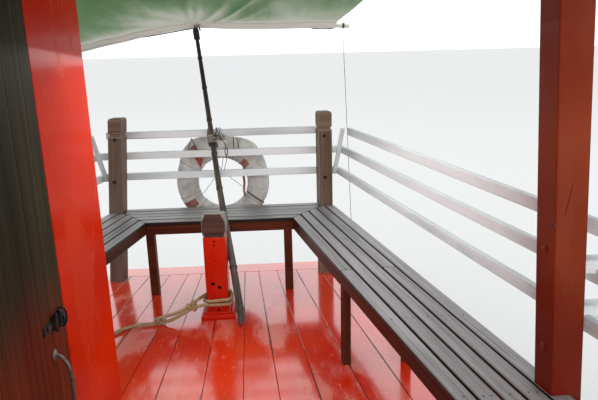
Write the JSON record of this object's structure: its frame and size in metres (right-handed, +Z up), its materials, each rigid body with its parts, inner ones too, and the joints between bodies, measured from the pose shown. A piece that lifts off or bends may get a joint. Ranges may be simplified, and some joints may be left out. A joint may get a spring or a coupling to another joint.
{
  "type": "longtail passenger river boat",
  "caption": "Wooden river passenger boat: square bow with benches, rails and bitt, roofed saloon, deckhouse with door, and a swivelling longtail motor at the stern.",
  "frame": {"origin": "on the waterline, on the centreline, midway between the bow and the stern of the hull", "axes": "+X starboard, +Y towards the bow, +Z up"},
  "size_m": [3.04, 16.6532, 3.1823],
  "materials": {
    "hull_paint": "oil paint on planks, dull, scuffed",
    "deck_red": "gloss red deck paint, worn, wet look",
    "panel_red": "high gloss red enamel on board",
    "bitt_red": "orange red enamel, brush marks",
    "slat_wood": "weathered grey hardwood slats",
    "dark_wood": "dark brown stained timber",
    "post_wood": "brown grey weathered timber",
    "roof_post_red": "red brown stained timber, satin",
    "rail_white": "old white paint, chalky",
    "pole_bamboo": "old grey bamboo",
    "canopy_cloth": "thin green and white tarpaulin",
    "spar_white": "white pipe",
    "ring_canvas": "dirty white canvas with worn red bands",
    "rope": "tan laid rope",
    "roof_board": "grey painted roofing boards",
    "door_wood": "dark brown varnished boards",
    "iron": "black iron",
    "engine_paint": "oily green engine enamel",
    "steel": "worn steel",
    "bronze": "cast bronze",
    "plastic": "blue plastic can"
  },
  "bodies": {
    "root": {"hull": "hull_paint", "deck": "deck_red", "bow_head_plank": "deck_red", "rub_rail_starboard": "hull_paint", "rub_rail_port": "hull_paint", "corner_post_starboard": "post_wood", "corner_post_port": "post_wood", "bow_rail_top": "rail_white", "bow_rail_middle": "rail_white", "bow_rail_lower": "rail_white", "side_rails_starboard": "rail_white", "side_rails_port": "rail_white", "bench_bow_seat": "slat_wood", "bench_bow_frame": "dark_wood", "bench_starboard_seat": "slat_wood", "bench_starboard_frame": "dark_wood", "bench_port_fore_seat": "slat_wood", "bench_port_fore_frame": "dark_wood", "bench_port_aft_seat": "slat_wood", "bench_port_aft_frame": "dark_wood", "bitt_post": "bitt_red", "bitt_head": "post_wood", "canopy_pole": "pole_bamboo", "canopy_spar": "spar_white", "canopy": "canopy_cloth", "life_ring": "ring_canvas", "mooring_rope_turns": "rope", "mooring_rope": "rope", "mooring_rope_coil": "rope", "roof": "roof_board", "roof_frame": "roof_post_red", "roof_post_starboard_1": "roof_post_red", "roof_post_starboard_2": "roof_post_red", "roof_post_starboard_3": "roof_post_red", "roof_post_starboard_4": "roof_post_red", "roof_post_starboard_5": "roof_post_red", "roof_post_port_1": "roof_post_red", "roof_post_port_2": "roof_post_red", "roof_post_port_3": "roof_post_red", "roof_post_port_4": "roof_post_red", "house_wall_inner": "panel_red", "house_wall_outer": "panel_red", "house_wall_front": "panel_red", "house_wall_aft": "panel_red", "door_hinge_1": "iron", "door_hinge_2": "iron", "motor_stand": "iron", "fuel_tank": "plastic"},
    "door": {"door_leaf": "door_wood", "door_handle": "iron", "door_hasp": "iron"},
    "yoke": {"swivel_yoke": "iron"},
    "motor": {"engine_bed": "iron", "engine": "engine_paint", "exhaust_pipe": "steel", "tail_tube": "steel", "tiller": "steel"},
    "screw": {"propeller": "bronze"}
  },
  "joints": [
    {"name": "door_hinge", "type": "hinge", "parent": "root", "child": "door", "pos_m": [-0.312, 3.601, 1.6], "axis": [0, 0, -1], "range_deg": [0, 100]},
    {"name": "motor_swivel", "type": "hinge", "parent": "root", "child": "yoke", "pos_m": [0, -6.25, 0.86], "axis": [0, 0, 1], "range_deg": [-60, 60]},
    {"name": "motor_tilt", "type": "hinge", "parent": "yoke", "child": "motor", "pos_m": [0, -6.25, 1.03], "axis": [-1, 0, 0], "range_deg": [-5, 22]},
    {"name": "propeller_spin", "type": "hinge", "parent": "motor", "child": "screw", "pos_m": [0, -6.25, 1.03], "axis": [0, -0.9455, -0.3256], "continuous": true}
  ]
}
